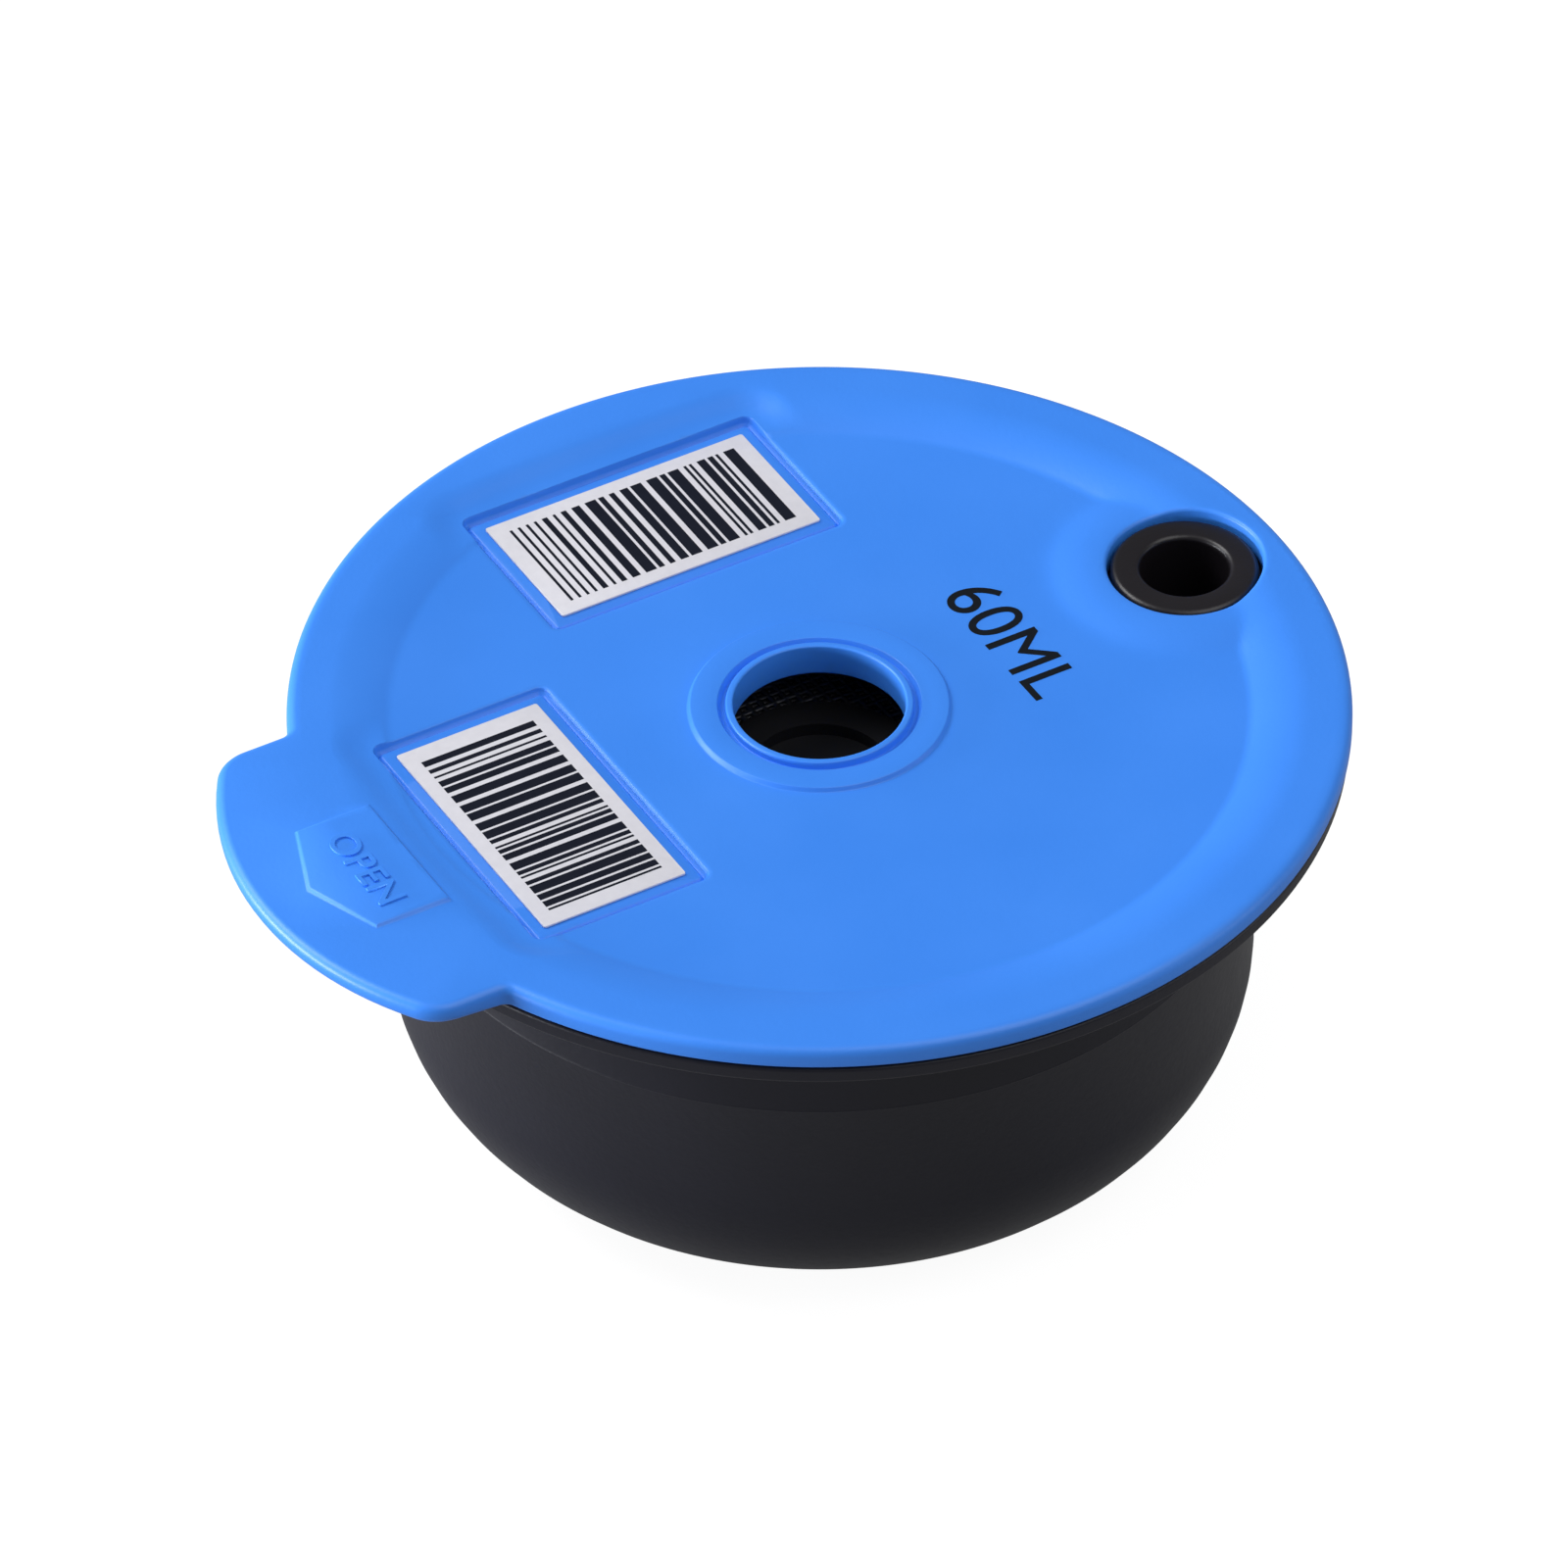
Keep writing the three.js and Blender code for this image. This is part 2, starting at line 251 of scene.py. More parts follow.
class Tree:
    """A node tree under construction, for a material or for geometry."""

    def __init__(self, tree):
        self.tree = tree

    def node(self, kind, settings=None, inputs=None, output=0):
        """Adds a node: its settings first, then the values or links of its sockets."""
        made = self.tree.nodes.new(kind)
        for key, value in (settings or {}).items():
            if key == "stops":
                self.set_stops(made.color_ramp, value)
            else:
                setattr(made, key, value)
        for key, value in (inputs or {}).items():
            if isinstance(value, Value):
                self.tree.links.new(value.socket, made.inputs[key])
            else:
                made.inputs[key].default_value = value
        return Value(self, made.outputs[output]) if made.outputs else None

    @staticmethod
    def set_stops(ramp, stops):
        while len(ramp.elements) < len(stops):
            ramp.elements.new(1.0)
        for element, (place, colour) in zip(ramp.elements, stops):
            element.position = place
            element.color = (*colour, 1.0)


def material_tree(name):
    """A new material and its empty node tree."""
    material = bpy.data.materials.new(name)
    material.use_nodes = True
    material.node_tree.nodes.clear()
    return material, Tree(material.node_tree)


def noise(tree, scale, detail):
    """Even noise in the coordinates of the object, from nothing to one."""
    place = tree.node("ShaderNodeTexCoord", output="Object")
    inputs = {"Vector": place, "Scale": scale, "Detail": detail}
    return tree.node("ShaderNodeTexNoise", None, inputs, "Fac")


def ramp(tree, share, *stops):
    """A colour that changes with a share between stops of (place, colour)."""
    return tree.node("ShaderNodeValToRGB", {"stops": stops}, {"Fac": share}, "Color")


def relief(tree, strength, distance, height):
    """Fine relief that only tilts the light on a surface."""
    inputs = {"Strength": strength, "Distance": distance, "Height": height}
    return tree.node("ShaderNodeBump", None, inputs, "Normal")


def shade(tree, inputs):
    """The shader that ends a material."""
    shader = tree.node("ShaderNodeBsdfPrincipled", None, inputs, "BSDF")
    tree.node("ShaderNodeOutputMaterial", None, {"Surface": shader})


def moulded_plastic(name, dark, light, roughness, grain, grain_height, gloss):
    """Satin moulded plastic: faintly clouded colour, uneven sheen and a fine moulded grain."""
    material, tree = material_tree(name)
    cloud = noise(tree, scale=90.0, detail=3.0)
    grains = noise(tree, scale=grain, detail=2.0)
    shade(tree, {
        "Base Color": ramp(tree, cloud, (0.3, dark), (0.7, light)),
        "Roughness": roughness + (cloud - 0.5) * 0.10 + (grains - 0.5) * 0.06,
        "Normal": relief(tree, strength=0.35, distance=grain_height, height=grains),
        "Specular IOR Level": gloss,
    })
    return material


def gauze_steel():
    """Woven stainless wire: bright metal on crossing lines, open between them."""
    pitch = 0.9 * MM
    material, tree = material_tree("woven_steel_gauze")
    place = tree.node("ShaderNodeTexCoord", output="Object")
    across = tree.node("ShaderNodeSeparateXYZ", None, {0: place}, 0)
    along = Value(tree, across.socket.node.outputs[1])
    warp = (across * (2 * math.pi / pitch)).sine()
    weft = (along * (2 * math.pi / pitch)).sine()
    wire = warp.largest(weft)
    streak = noise(tree, scale=2500.0, detail=1.0)
    shade(tree, {
        "Base Color": ramp(tree, streak, (0.2, (0.38, 0.39, 0.41)), (0.8, (0.56, 0.57, 0.59))),
        "Roughness": 0.28 + streak * 0.12,
        "Metallic": 1.0,
        "Alpha": wire > 0.1,
        "Normal": relief(tree, strength=0.8, distance=0.0001, height=wire),
    })
    return material


def printed_film(name, dark, light, roughness, gloss):
    """Printed plastic film: a nearly even colour with a faint paper-like unevenness."""
    material, tree = material_tree(name)
    fibre = noise(tree, scale=1400.0, detail=3.0)
    shade(tree, {
        "Base Color": ramp(tree, fibre, (0.25, dark), (0.75, light)),
        "Roughness": roughness + (fibre - 0.5) * 0.1,
        "Normal": relief(tree, strength=0.2, distance=0.00002, height=fibre),
        "Specular IOR Level": gloss,
    })
    return material


blue_plastic = moulded_plastic(
    "blue_satin_plastic", (0.040, 0.234, 0.835), (0.046, 0.248, 0.865),
    roughness=0.40, grain=2600.0, grain_height=0.00003, gloss=0.4,
)
charcoal_plastic = moulded_plastic(
    "charcoal_satin_plastic", (0.0058, 0.0060, 0.0120), (0.0078, 0.0080, 0.0152),
    roughness=0.40, grain=1800.0, grain_height=0.00005, gloss=0.35,
)
black_plastic = moulded_plastic(
    "black_matt_plastic", (0.0040, 0.0040, 0.0052), (0.0055, 0.0055, 0.0068),
    roughness=0.55, grain=1800.0, grain_height=0.00004, gloss=0.3,
)
black_rubber = moulded_plastic(
    "black_soft_rubber", (0.0062, 0.0050, 0.0068), (0.0080, 0.0065, 0.0088),
    roughness=0.36, grain=3200.0, grain_height=0.00003, gloss=0.45,
)
white_film = printed_film(
    "white_label_film", (0.70, 0.695, 0.745), (0.745, 0.74, 0.79), roughness=0.42, gloss=0.5,
)
bar_ink = printed_film(
    "label_bar_ink", (0.0040, 0.0058, 0.0145), (0.0058, 0.0080, 0.0180), roughness=0.45, gloss=0.2,
)
black_ink = printed_film(
    "lid_print_ink", (0.0020, 0.0040, 0.0075), (0.0032, 0.0058, 0.0098), roughness=0.45, gloss=0.2,
)


def placed(name, data):
    """A new object in the scene."""
    made = bpy.data.objects.new(name, data)
    bpy.context.scene.collection.objects.link(made)
    return made


def plain_mesh(piece):
    """The mesh that a piece shows, with its modifiers worked in."""
    shown = piece.evaluated_get(bpy.context.evaluated_depsgraph_get())
    return bpy.data.meshes.new_from_object(shown)


def mesh_piece(name, points, faces, materials):
    """A named mesh object from points in millimetres, with shared corners merged and faces out."""
    mesh = bpy.data.meshes.new(name)
    work = bmesh.new()
    corners = [work.verts.new(Vector(p) * MM) for p in points]
    for face in faces:
        ids = list(dict.fromkeys(face))
        if len(ids) > 2:
            work.faces.new([corners[i] for i in ids])
    bmesh.ops.remove_doubles(work, verts=work.verts, dist=MERGE)
    bmesh.ops.dissolve_degenerate(work, edges=work.edges, dist=FINE_MERGE)
    bmesh.ops.recalc_face_normals(work, faces=work.faces)
    work.to_mesh(mesh)
    work.free()
    for material in materials:
        mesh.materials.append(material)
    piece = placed(name, mesh)
    soften(piece)
    return piece


def soften(piece):
    """Smooth shading, with sharp edges where faces meet at a large angle."""
    piece.data.shade_smooth()
    piece.data.set_sharp_from_angle(angle=math.radians(SMOOTH_ANGLE))


def rounded(corners, steps=5, closed=False):
    """A line through corners of (u, v, round), each round one drawn as an arc."""
    count = len(corners)
    line = []
    for i, (u, v, *rest) in enumerate(corners):
        round_size = rest[0] if rest else 0
        here = Vector((u, v))
        if not round_size or (not closed and i in (0, count - 1)):
            line.append((u, v))
            continue
        before = Vector(corners[i - 1][:2]) - here
        after = Vector(corners[(i + 1) % count][:2]) - here
        half = before.angle(after) / 2
        reach = round_size / math.tan(half)
        for k, side in ((i - 1, before), ((i + 1) % count, after)):
            share = SHARED_REACH if len(corners[k]) > 2 else FREE_REACH
            reach = min(reach, share * side.length)
        size = reach * math.tan(half)
        bisector = (before.normalized() + after.normalized()).normalized()
        middle = here + bisector * (size / math.sin(half))
        start = here + before.normalized() * reach - middle
        turn = start.angle_signed(here + after.normalized() * reach - middle, 0)
        for k in range(steps + 1):
            spoke = start.copy()
            spoke.rotate(Matrix.Rotation(-turn * k / steps, 2))
            line.append(tuple(middle + spoke))
    return line


def circle(radius, count=ROUND, x=0.0):
    angles = (2 * math.pi * i / count for i in range(count))
    return [(x + radius * math.cos(a), radius * math.sin(a)) for a in angles]


def band(loops):
    """Points and faces between loops of equal length, each a list of points in space."""
    count = len(loops[0])
    points = [p for loop in loops for p in loop]
    faces = [
        (start + i, start + j, start + count + j, start + count + i)
        for start in range(0, count * (len(loops) - 1), count)
        for i, j in ((i, (i + 1) % count) for i in range(count))
    ]
    return points, faces


def turned(profile, count=ROUND, x=0.0):
    """Points and faces of a profile of (radius, height) turned about an upright axis."""
    return band([
        [(px, py, height) for px, py in circle(radius, count, x)]
        for radius, height in profile
    ])


def joined(*parts):
    """Several lists of points and faces as one."""
    points, faces = [], []
    for some_points, some_faces in parts:
        start = len(points)
        points += some_points
        faces += [tuple(start + i for i in face) for face in some_faces]
    return points, faces


def cut(piece, tool, operation):
    """Cuts a piece with a tool or joins the tool to it, and keeps the result as a plain mesh."""
    modifier = piece.modifiers.new("cut", "BOOLEAN")
    modifier.operation = operation
    modifier.solver = "EXACT"
    modifier.object = tool
    mesh = plain_mesh(piece)
    piece.modifiers.clear()
    piece.data = mesh
    bpy.data.objects.remove(tool)


def smooth_step(share):
    """A share from nothing to one, with soft ends."""
    share = min(max(share, 0.0), 1.0)
    return share * share * (3 - 2 * share)


def soft_edge(distance, soft):
    """One inside an outline and nothing outside it, changing smoothly across its edge."""
    return smooth_step((soft - distance) / (2 * soft))


def lid_section():
    """Radial section of the lid's upper face, from the outlet's lip out to the rim."""
    slope = [
        (
            dish_flat + DISH_SLOPE_WIDTH * k / SLOPE_STEPS,
            lid_top - DISH_DEPTH * (1 - k / SLOPE_STEPS) ** 2,
        )
        for k in range(1, SLOPE_STEPS + 1)
    ]
    return rounded([
        *((OUTLET_RADIUS + out, *rest) for out, *rest in OUTLET_SECTION),
        (dish_flat, dish_top, DISH_CREASE_ROUND),
        *slope,
        (lid_radius - LID_EDGE_ROUND - FLAT_RIM_MARGIN, lid_top),
    ], steps=4)


section = lid_section()
section_radii = [radius for radius, _ in section]


def section_height(radius):
    """Height of the plain turned form of the lid's upper face at a radius."""
    i = min(max(bisect.bisect(section_radii, radius), 1), len(section) - 1)
    (r0, z0), (r1, z1) = section[i - 1], section[i]
    share = min(max((radius - r0) / (r1 - r0), 0.0), 1.0)
    return z0 + (z1 - z0) * share


def label_place(node, border=0.0):
    """Centre and half sizes of a label, from the frame, with a border added to the half sizes."""
    low, high = box_mm(node)
    half_x, half_y = (high.x - low.x) / 2, (high.y - low.y) / 2
    return (low.x + high.x) / 2, (low.y + high.y) / 2, half_x + border, half_y + border


recesses = [label_place(node, RECESS_BORDER) for node in ("label_back", "label_front")]


def box_distance(x, y, half_x, half_y, corner):
    """How far a point lies outside a rectangle with round corners; negative inside."""
    dx, dy = abs(x) - half_x + corner, abs(y) - half_y + corner
    return math.hypot(max(dx, 0), max(dy, 0)) + min(max(dx, dy), 0) - corner


def round_box(x, y, half_x, half_y, corner):
    """Outline of a rectangle with round corners, anticlockwise."""
    signs = ((-1, -1), (1, -1), (1, 1), (-1, 1))
    corners = [(half_x * along, half_y * up, corner) for along, up in signs]
    return [(x + u, y + v) for u, v in rounded(corners, closed=True)]


def divided(loop, longest=0.6):
    """A closed line with points added, so that no step along it is long."""
    line = []
    for i, (x1, y1) in enumerate(loop):
        x0, y0 = loop[i - 1]
        steps = math.ceil(math.hypot(x1 - x0, y1 - y0) / longest)
        line += [(x0 + (x1 - x0) * k / steps, y0 + (y1 - y0) * k / steps) for k in range(steps)]
    return line


def arrow_outline():
    """Plan of the raised arrow on the tab, anticlockwise."""
    point = tab_tip + ARROW_FROM_TIP
    base = point + ARROW_LENGTH
    shoulder = point + ARROW_POINT_LENGTH
    return [
        (base, -ARROW_HALF_WIDTH),
        (base, ARROW_HALF_WIDTH),
        (shoulder, ARROW_HALF_WIDTH),
        (point, 0.0),
        (shoulder, -ARROW_HALF_WIDTH),
    ]


def inset(outline, distance):
    """A closed anticlockwise outline moved inwards, its corners kept sharp."""
    moved = []
    for i, here in enumerate(outline):
        here = Vector(here)
        into = (here - Vector(outline[i - 1])).normalized()
        out = (Vector(outline[(i + 1) % len(outline)]) - here).normalized()
        normal = Vector((-into.y - out.y, into.x + out.x)).normalized()
        # The limit keeps a very sharp corner from running away
        stretch = max(normal.dot(Vector((-into.y, into.x))), 0.3)
        moved.append(tuple(here + normal * (distance / stretch)))
    return moved


def arrow_distance(x, y, outline):
    """How far a point lies outside the arrow; negative inside."""
    far = -math.inf
    for i, (x1, y1) in enumerate(outline):
        x0, y0 = outline[i - 1]
        length = math.hypot(x1 - x0, y1 - y0)
        far = max(far, ((x - x0) * (y1 - y0) - (y - y0) * (x1 - x0)) / length)
    return far


arrow = arrow_outline()


def lid_height(x, y):
    """Height of the lid's upper face at a point."""
    radius = math.hypot(x, y)
    room = lid_radius - LID_EDGE_ROUND - BORDER_MARGIN - radius
    if x > 0 and room < 0:
        return lid_top
    z = section_height(radius)
    beyond = math.hypot(x - inlet_x, y) - INLET_HOLE_RADIUS
    pad = pad_top - PAD_RISE * (max(beyond - PAD_LAND, 0.0) / PAD_SLOPE) ** 2
    past_pad = smooth_step((beyond - PAD_LAND - PAD_SLOPE) / PAD_FADE)
    blend = PAD_BLEND * smooth_step(room / RIM_FADE) * (1 - past_pad)
    z = (z + pad + math.hypot(z - pad, blend)) / 2
    edge = 1 - min(max(beyond / HOLE_ROUND, 0.0), 1.0)
    z -= HOLE_ROUND * (1 - math.sqrt(1 - edge * edge))
    for centre_x, centre_y, half_x, half_y in recesses:
        distance = box_distance(x - centre_x, y - centre_y, half_x, half_y, RECESS_CORNER)
        z -= max(z - RECESS_WALL - recess_floor, 0.0) * (1 - smooth_step(distance / RECESS_APRON))
        z += (recess_floor - z) * soft_edge(distance, RECESS_EDGE_SOFT)
        z -= GROOVE_DEPTH * smooth_step(1 - abs(distance + GROOVE_INSET) / GROOVE_HALF_WIDTH)
    return z + (lid_top + ARROW_RISE - z) * soft_edge(arrow_distance(x, y, arrow), ARROW_SOFT)


def arc_points(x, y, radius, start, end, steps):
    """Points of an arc about (x, y), both ends included."""
    angles = (start + (end - start) * k / steps for k in range(steps + 1))
    return [(x + radius * math.cos(a), y + radius * math.sin(a)) for a in angles]


def lid_outline():
    """Plan of the lid and its tab, anticlockwise."""
    centre = tab_tip + TAB_TIP_RADIUS
    corner_y = TAB_HALF_WIDTH - TAB_CORNER_RADIUS
    corner_x = centre - math.sqrt((TAB_TIP_RADIUS - TAB_CORNER_RADIUS) ** 2 - corner_y ** 2)
    lean = math.atan2(corner_y, centre - corner_x)
    notch_y = TAB_HALF_WIDTH + TAB_NOTCH_ROUND
    notch_x = -math.sqrt((lid_radius + TAB_NOTCH_ROUND) ** 2 - notch_y ** 2)
    notch = math.atan2(notch_y, -notch_x)
    half = [
        *arc_points(0, 0, lid_radius, 0, math.pi - notch, 110),
        *arc_points(notch_x, notch_y, TAB_NOTCH_ROUND, -notch, -math.pi / 2, 6)[1:],
        *arc_points(corner_x, corner_y, TAB_CORNER_RADIUS, math.pi / 2, math.pi - lean, 12),
        *arc_points(centre, 0, TAB_TIP_RADIUS, math.pi - lean, math.pi, 12)[1:],
    ]
    return half + [(x, -y) for x, y in reversed(half[1:-1])]


def inside(outline, x, y):
    """Whether a point lies inside a closed outline."""
    hit = False
    for i, (x1, y1) in enumerate(outline):
        x0, y0 = outline[i - 1]
        if (y0 > y) != (y1 > y) and x < (x1 - x0) * (y - y0) / (y1 - y0) + x0:
            hit = not hit
    return hit


def sheet(border, hole, loops, height):
    """A triangulated sheet between a border and a round hole that follows every loop."""
    points, edges = [], []
    for loop in [border, hole, *loops]:
        start, count = len(points), len(loop)
        points += [Vector(p) for p in loop]
        edges += [(start + i, start + (i + 1) % count) for i in range(count)]
    flat, _, triangles, *_ = delaunay_2d_cdt(points, edges, [], 0, 1e-5)
    hole_radius = math.hypot(*hole[0])
    # Only a triangle close to the border needs the slower test
    well_inside = min(math.hypot(*p) for p in border) - 0.05
    kept = []
    for triangle in triangles:
        middle = sum((flat[i] for i in triangle), Vector((0, 0))) / 3
        if middle.length < hole_radius * math.cos(math.pi / len(hole)):
            continue
        if middle.length < well_inside or inside(border, *middle):
            kept.append(tuple(triangle))
    return [(p.x, p.y, height(p.x, p.y)) for p in flat], kept


def lid_edge_section(lower_round):
    """Inset and height of the lid's outer edge, from its upper face round to its underside."""
    upper = [
        (LID_EDGE_ROUND * (1 - math.cos(a)), lid_top - LID_EDGE_ROUND * (1 - math.sin(a)))
        for a in (math.pi / 2 * (1 - k / 6) for k in range(7))
    ]
    lower = [
        (lower_round * (1 - math.cos(a)), rim_underside + lower_round * (1 - math.sin(a)))
        for a in (math.pi / 2 * k / 5 for k in range(6))
    ]
    return upper + lower


def lid_under_section():
    """Section of the lid's underside, from the rim in to the outlet and up to its lip."""
    plug_inner = plug_radius - PLUG_THICKNESS
    bead = plug_tip + BEAD_HEIGHT
    socket_inner = filter_radius + SEAT_GAP
    socket_outer = socket_inner + SOCKET_WALL
    socket_tip = dish_underside - SOCKET_DEPTH
    tube_outer = OUTLET_RADIUS + OUTLET_TUBE_WALL
    return rounded([
        (plug_radius + 0.35, rim_underside),
        (plug_radius, rim_underside, 0.15),
        (plug_radius, bead + BEAD_HALF_WIDTH, 0.2),
        (plug_radius + BEAD_PROUD, bead, 0.25),
        (plug_radius, bead - BEAD_HALF_WIDTH, 0.2),
        (plug_radius, plug_tip, 0.4),
        (plug_inner, plug_tip, 0.2),
        (plug_inner, dish_underside, 0.3),
        (socket_outer, dish_underside, 0.3),
        (socket_outer, socket_tip, 0.2),
        (socket_inner, socket_tip, 0.2),
        (socket_inner, dish_underside, 0.3),
        (tube_outer, dish_underside, 0.2),
        (tube_outer, outlet_tube_end, 0.2),
        (OUTLET_RADIUS, outlet_tube_end, 0.2),
        (OUTLET_RADIUS, lip_top, 0.15),
        (OUTLET_RADIUS + LIP_EDGE, lip_top),
    ], steps=4)


def edge_loop(outline, rim_place, tab_place):
    """A line round the lid's edge: its inset and height differ between the rim and the tab."""
    line = []
    rim_line, tab_line = inset(outline, rim_place[0]), inset(outline, tab_place[0])
    for (x, y), (tab_x, tab_y) in zip(rim_line, tab_line):
        share = smooth_step((-x - lid_radius + TAB_EDGE_START) / TAB_EDGE_CHANGE)
        line.append((
            x + (tab_x - x) * share,
            y + (tab_y - y) * share,
            rim_place[1] + (tab_place[1] - rim_place[1]) * share,
        ))
    return line


def recess_loops(steps):
    """Outlines of both recesses, each moved outwards by every step."""
    return [
        round_box(x, y, half_x + step, half_y + step, RECESS_CORNER + step)
        for x, y, half_x, half_y in recesses
        for step in steps
    ]


def build_lid():
    """The lid: an upper sheet, its edge, a flat underside and the turned form below it."""
    outline = lid_outline()
    rim_edge, tab_edge = lid_edge_section(LID_LOWER_ROUND), lid_edge_section(TAB_LOWER_ROUND)
    edge_loops = [edge_loop(outline, *places) for places in zip(rim_edge, tab_edge)]
    edge_steps = (0.1, 0.06, 0.02, -0.02, -0.06, -0.1)
    groove_steps = (-0.14, -0.22, -0.30, -0.38, -0.46, -0.54)
    apron_steps = (0.4, 0.8, 1.3, 1.9, 2.5, 3.0)
    pad_steps = (-0.02, 0.02, 0.06, 0.12, 0.2, *(0.3 + 0.3 * k for k in range(21)))
    loops = [
        *(circle(radius) for radius in section_radii[1:]),
        *(circle(INLET_HOLE_RADIUS + step, SMALL_ROUND, inlet_x) for step in pad_steps),
        *recess_loops(edge_steps + groove_steps),
        *(divided(loop) for loop in recess_loops(apron_steps)),
        *(inset(arrow, -step * ARROW_SOFT / RECESS_EDGE_SOFT) for step in edge_steps),
    ]
    border = [p[:2] for p in edge_loops[0]]
    upper = sheet(border, circle(section_radii[0]), loops, lid_height)
    under = lid_under_section()
    border = [p[:2] for p in edge_loops[-1]]
    lower = sheet(border, circle(under[0][0]), [], lambda x, y: rim_underside)
    parts = joined(upper, band(edge_loops), lower, turned(under))
    return mesh_piece("lid_shell", *parts, [blue_plastic])


def inlet_cutter():
    """The round hole for the bush."""
    low, high = plug_tip - TOOL_MARGIN, lid_top + 2 * TOOL_MARGIN
    profile = [(0, low), (INLET_HOLE_RADIUS, low), (INLET_HOLE_RADIUS, high), (0, high)]
    return mesh_piece("inlet_cutter", *turned(profile, SMALL_ROUND, inlet_x), [blue_plastic])


def raised_word(name, word, centre, length, height, low, thickness, material, bevel=0.0):
    """A word that reads along -Y with the tops of its letters towards +X."""
    curve = bpy.data.curves.new(name, "FONT")
    curve.body = word
    curve.extrude = 0.1
    curve.bevel_depth = bevel
    curve.bevel_resolution = 2
    curve.resolution_u = 8
    writer = placed(name, curve)
    bpy.context.view_layer.update()
    mesh = plain_mesh(writer)
    bpy.data.objects.remove(writer)
    spots = [v.co.copy() for v in mesh.vertices]
    small = Vector(min(p[k] for p in spots) for k in range(3))
    large = Vector(max(p[k] for p in spots) for k in range(3))
    middle = (small + large) / 2
    for vertex, spot in zip(mesh.vertices, spots):
        along = (spot.x - middle.x) * length / (large.x - small.x)
        up = (spot.y - middle.y) * height / (large.y - small.y)
        rise = (spot.z - small.z) * thickness / (large.z - small.z)
        vertex.co = Vector((centre[0] + up, centre[1] - along, low + rise)) * MM
    mesh.materials.clear()
    mesh.materials.append(material)
    piece = placed(name, mesh)
    work = bmesh.new()
    work.from_mesh(mesh)
    bmesh.ops.remove_doubles(work, verts=work.verts, dist=FINE_MERGE)
    bmesh.ops.recalc_face_normals(work, faces=work.faces)
    work.to_mesh(mesh)
    work.free()
    return piece


def round_ended_bar(radius, top):
    """The pocket's form: a bar with a round lower end under the water inlet."""
    centre = cup_top - POCKET_DEPTH
    end = [
        (radius * math.sin(a), centre - radius * math.cos(a))
        for a in (math.pi / 2 * k / 16 for k in range(17))
    ]
    profile = [*end, (radius, top), (0, top)]
    return mesh_piece("pocket", *turned(profile, SMALL_ROUND, inlet_x), [charcoal_plastic])


def build_cup():
    """The cup: a deep bowl with a flange, and the pocket in its side."""
    parting_line = lid_top - PARTING_LINE_DEPTH
    cavity_top = cup_top + TOOL_MARGIN
    outside = rounded([
        (0, 0),
        (cup_radius - CUP_DRAFT, 0, FOOT_ROUND),
        *((cup_radius + out, parting_line + up) for out, up in PARTING_LINE),
        (cup_radius, flange_underside, 0.9),
        (flange_radius, flange_underside, 0.3),
        (flange_radius, cup_top, 0.3),
        (0, cup_top),
    ], steps=14)
    cavity = rounded([
        (0, CUP_FLOOR),
        (mouth_radius - CUP_DRAFT, CUP_FLOOR, FOOT_ROUND - CUP_WALL),
        *((mouth_radius + out, plug_tip + up) for out, up in BEAD_GROOVE),
        (mouth_radius, cup_top - MOUTH_CHAMFER),
        (mouth_radius + MOUTH_CHAMFER, cup_top),
        (mouth_radius + MOUTH_CHAMFER, cavity_top),
        (0, cavity_top),
    ], steps=14)
    shell = mesh_piece("cup_shell", *turned(outside), [charcoal_plastic])
    pocket_wall = round_ended_bar(POCKET_RADIUS + POCKET_WALL, flange_underside + POCKET_OVERLAP)
    cut(shell, pocket_wall, "UNION")
    cut(shell, mesh_piece("cavity", *turned(cavity), [charcoal_plastic]), "DIFFERENCE")
    cut(shell, round_ended_bar(POCKET_RADIUS, cavity_top), "DIFFERENCE")
    soften(shell)
    return shell


def build_bush():
    """The soft ring in the water inlet, a collar on a neck that reaches into the pocket."""
    bore = INLET_BORE_RADIUS
    neck = bore + BUSH_NECK_WALL
    radius = (bush_high.x - bush_low.x) / 2
    shoulder = cup_top + SEAT_GAP
    profile = rounded([
        (bore, bush_low.z, 0.15),
        (neck, bush_low.z, 0.2),
        (neck, shoulder, 0.1),
        (radius, shoulder, 0.15),
        (radius, bush_high.z, 0.55),
        (bore, bush_high.z, 0.4),
    ], steps=6, closed=True)
    ring = turned([*profile, profile[0]], SMALL_ROUND, inlet_x)
    return mesh_piece("inlet_bush_ring", *ring, [black_rubber])


def build_film(name, node):
    """The white film of one label, its upper edge softened."""
    low, high = box_mm(node)
    x, y, half_x, half_y = label_place(node)
    soft = LABEL_EDGE_SOFT
    loops = [
        [(px, py, z) for px, py in round_box(x, y, half_x - size, half_y - size, LABEL_CORNER)]
        for size, z in ((0.0, low.z), (0.0, high.z - soft), (soft, high.z))
    ]
    points, faces = band(loops)
    count = len(loops[0])
    faces.append(tuple(range(count)))
    faces.append(tuple(range(2 * count, 3 * count)))
    return mesh_piece(name, points, faces, [white_film, bar_ink])


def group_inputs(group, inputs):
    """Gives a node group its geometry output and its named inputs."""
    group.interface.new_socket("Geometry", in_out="OUTPUT", socket_type="NodeSocketGeometry")
    for label, kind in inputs:
        group.interface.new_socket(label, in_out="INPUT", socket_type=kind)


def grow(name, group, values):
    """Runs a node group on an empty mesh and keeps what it makes as a plain mesh."""
    piece = placed(name, bpy.data.meshes.new(name))
    modifier = piece.modifiers.new("grow", "NODES")
    modifier.node_group = group
    for item in group.interface.items_tree:
        if item.in_out == "INPUT":
            modifier[item.identifier] = values[item.name]
    made = plain_mesh(piece)
    piece.modifiers.clear()
    piece.data = made
    return piece


